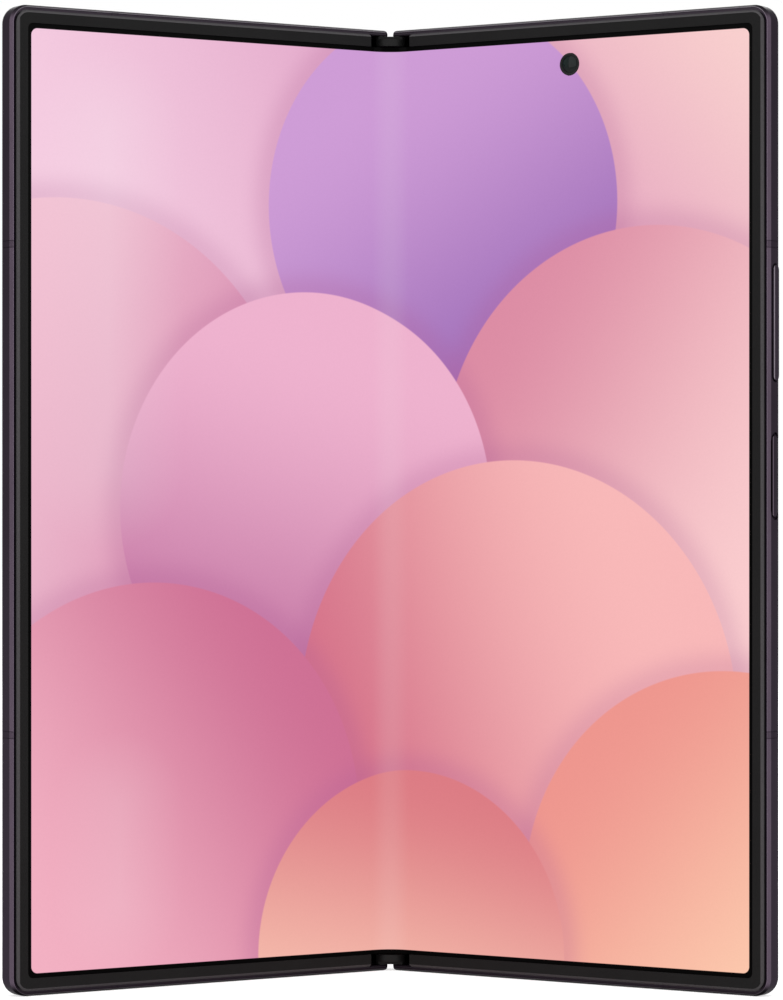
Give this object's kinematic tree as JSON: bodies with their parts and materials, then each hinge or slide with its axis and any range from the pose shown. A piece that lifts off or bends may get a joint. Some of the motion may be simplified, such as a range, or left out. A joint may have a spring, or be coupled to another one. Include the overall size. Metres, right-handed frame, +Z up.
{
  "type": "foldable smartphone",
  "caption": "Book-style foldable phone, half open, with a bending inner screen, geared spine hinge, cover display, rear camera island, side keys, charging port and card tray.",
  "frame": {"origin": "middle of the footprint on the table, at the height of the table", "axes": "+Z up along the fold, the inner screen faces -Y, +X towards the half with the keys and the rear cameras"},
  "size_m": [0.1243, 0.042, 0.1584],
  "materials": {
    "frame_metal": "satin anodised, dark plum",
    "spine_metal": "satin anodised, dark plum",
    "key_metal": "satin anodised, dark plum",
    "tray_metal": "satin anodised, dark plum",
    "island_metal": "satin anodised, dark plum",
    "ring_metal": "polished anodised, dark plum",
    "break_plastic": "matt moulded plastic, darker than the frame",
    "bezel_plastic": "fine matt charcoal plastic",
    "cap_plastic": "matt dark grey plastic",
    "inner_screen": "glossy bending screen, lit",
    "cover_glass": "polished black-backed glass",
    "rear_glass": "matt etched glass, dark plum",
    "lens_glass": "polished black glass",
    "flash_lens": "clear moulded lens over a pale diode",
    "camera_black": "matt black",
    "panel_black": "black display panel",
    "module_black": "matt black moulding",
    "hinge_steel": "sintered stainless steel",
    "gear_steel": "hardened steel",
    "pin_steel": "ground steel",
    "spring_steel": "blued spring steel",
    "screw_steel": "plated steel",
    "plate_steel": "rolled stainless sheet",
    "motor_steel": "drawn steel case",
    "shield_steel": "drawn tinned sheet",
    "port_steel": "drawn stainless shell",
    "magnet": "nickel plated",
    "cell_foil": "matt pouch foil",
    "circuit_board": "dark green board",
    "coil_copper": "enamelled copper winding",
    "flex_ribbon": "amber ribbon"
  },
  "bodies": {
    "spine": {"spine_cover": "spine_metal", "hinge_block_upper": "hinge_steel", "hinge_block_lower": "hinge_steel", "gear_pins": "pin_steel", "gear_stays": "hinge_steel", "disc_springs": "spring_steel", "block_screws": "screw_steel", "centre_plate": "plate_steel", "screen_fold": "inner_screen", "spine_caps": "cap_plastic", "hinge_flex": "flex_ribbon"},
    "left_half": {"left_frame": "frame_metal", "left_bezel": "bezel_plastic", "left_screen": "inner_screen", "left_screen_plate": "plate_steel", "left_rotator_upper": "hinge_steel", "left_rotator_lower": "hinge_steel", "left_antenna_breaks": "break_plastic", "left_screws": "screw_steel", "left_magnets": "magnet", "left_battery": "cell_foil", "cover_glass": "cover_glass", "cover_panel": "panel_black", "cover_camera": "camera_black", "earpiece": "module_black", "vibration_motor": "motor_steel", "left_board": "circuit_board", "sim_reader": "plate_steel"},
    "right_half": {"right_frame": "frame_metal", "right_bezel": "bezel_plastic", "right_screen": "inner_screen", "right_screen_plate": "plate_steel", "right_rotator_upper": "hinge_steel", "right_rotator_lower": "hinge_steel", "right_antenna_breaks": "break_plastic", "right_screws": "screw_steel", "right_magnets": "magnet", "right_battery": "cell_foil", "rear_glass": "rear_glass", "camera_island": "island_metal", "lens_rings": "ring_metal", "lens_windows": "lens_glass", "main_camera": "camera_black", "wide_camera": "camera_black", "zoom_camera": "camera_black", "flash_lens": "flash_lens", "inner_camera": "camera_black", "main_board": "circuit_board", "board_shields": "shield_steel", "charging_coil": "coil_copper", "charging_port": "port_steel", "loudspeaker": "module_black", "key_flex": "flex_ribbon"},
    "arm_left": {"sync_arms_left": "gear_steel"},
    "arm_right": {"sync_arms_right": "gear_steel"},
    "idler_left": {"idler_gears_left": "gear_steel"},
    "idler_right": {"idler_gears_right": "gear_steel"},
    "sim_tray": {"sim_tray": "tray_metal"},
    "power_key": {"power_key": "key_metal"},
    "volume_key": {"volume_key": "key_metal"}
  },
  "joints": [
    {"name": "left_fold", "type": "hinge", "parent": "spine", "child": "left_half", "pos_m": [-0.0014, 0.01774, 0], "axis": [0, 0, 1], "range_deg": [-32.5, 57.5], "deforming": ["screen_fold", "hinge_flex"]},
    {"name": "right_fold", "type": "hinge", "parent": "spine", "child": "right_half", "pos_m": [0.0014, 0.01774, 0], "axis": [0, 0, -1], "range_deg": [-32.5, 57.5]},
    {"name": "left_arm_turn", "type": "hinge", "parent": "spine", "child": "arm_left", "pos_m": [-0.00195, 0.01886, 0], "axis": [0, 0, 1], "range_deg": [-32.5, 57.5]},
    {"name": "left_idler_turn", "type": "hinge", "parent": "spine", "child": "idler_left", "pos_m": [-0.00065, 0.01886, 0], "axis": [0, 0, -1], "range_deg": [-32.5, 57.5]},
    {"name": "right_idler_turn", "type": "hinge", "parent": "spine", "child": "idler_right", "pos_m": [0.00065, 0.01886, 0], "axis": [0, 0, 1], "range_deg": [-32.5, 57.5]},
    {"name": "right_arm_turn", "type": "hinge", "parent": "spine", "child": "arm_right", "pos_m": [0.00195, 0.01886, 0], "axis": [0, 0, -1], "range_deg": [-32.5, 57.5]},
    {"name": "power_press", "type": "slide", "parent": "right_half", "child": "power_key", "axis": [-0.8434, 0.5373, 0], "range_m": [0, 0.0002], "stiffness_N_per_m": 600, "springref_m": -0.002},
    {"name": "volume_rock", "type": "hinge", "parent": "right_half", "child": "volume_key", "pos_m": [0.06109, -0.01903, 0.1076], "axis": [0.5373, 0.8434, 0], "range_deg": [-1, 1], "stiffness_Nm_per_rad": 0.05},
    {"name": "tray_slide", "type": "slide", "parent": "left_half", "child": "sim_tray", "axis": [0, 0, 1], "range_m": [0, 0.03]}
  ],
  "couplings": [
    {"joint": "right_fold", "follows": "left_fold", "ratio": 1},
    {"joint": "left_arm_turn", "follows": "left_fold", "ratio": 1},
    {"joint": "left_idler_turn", "follows": "left_fold", "ratio": 1},
    {"joint": "right_idler_turn", "follows": "left_fold", "ratio": 1},
    {"joint": "right_arm_turn", "follows": "left_fold", "ratio": 1}
  ]
}
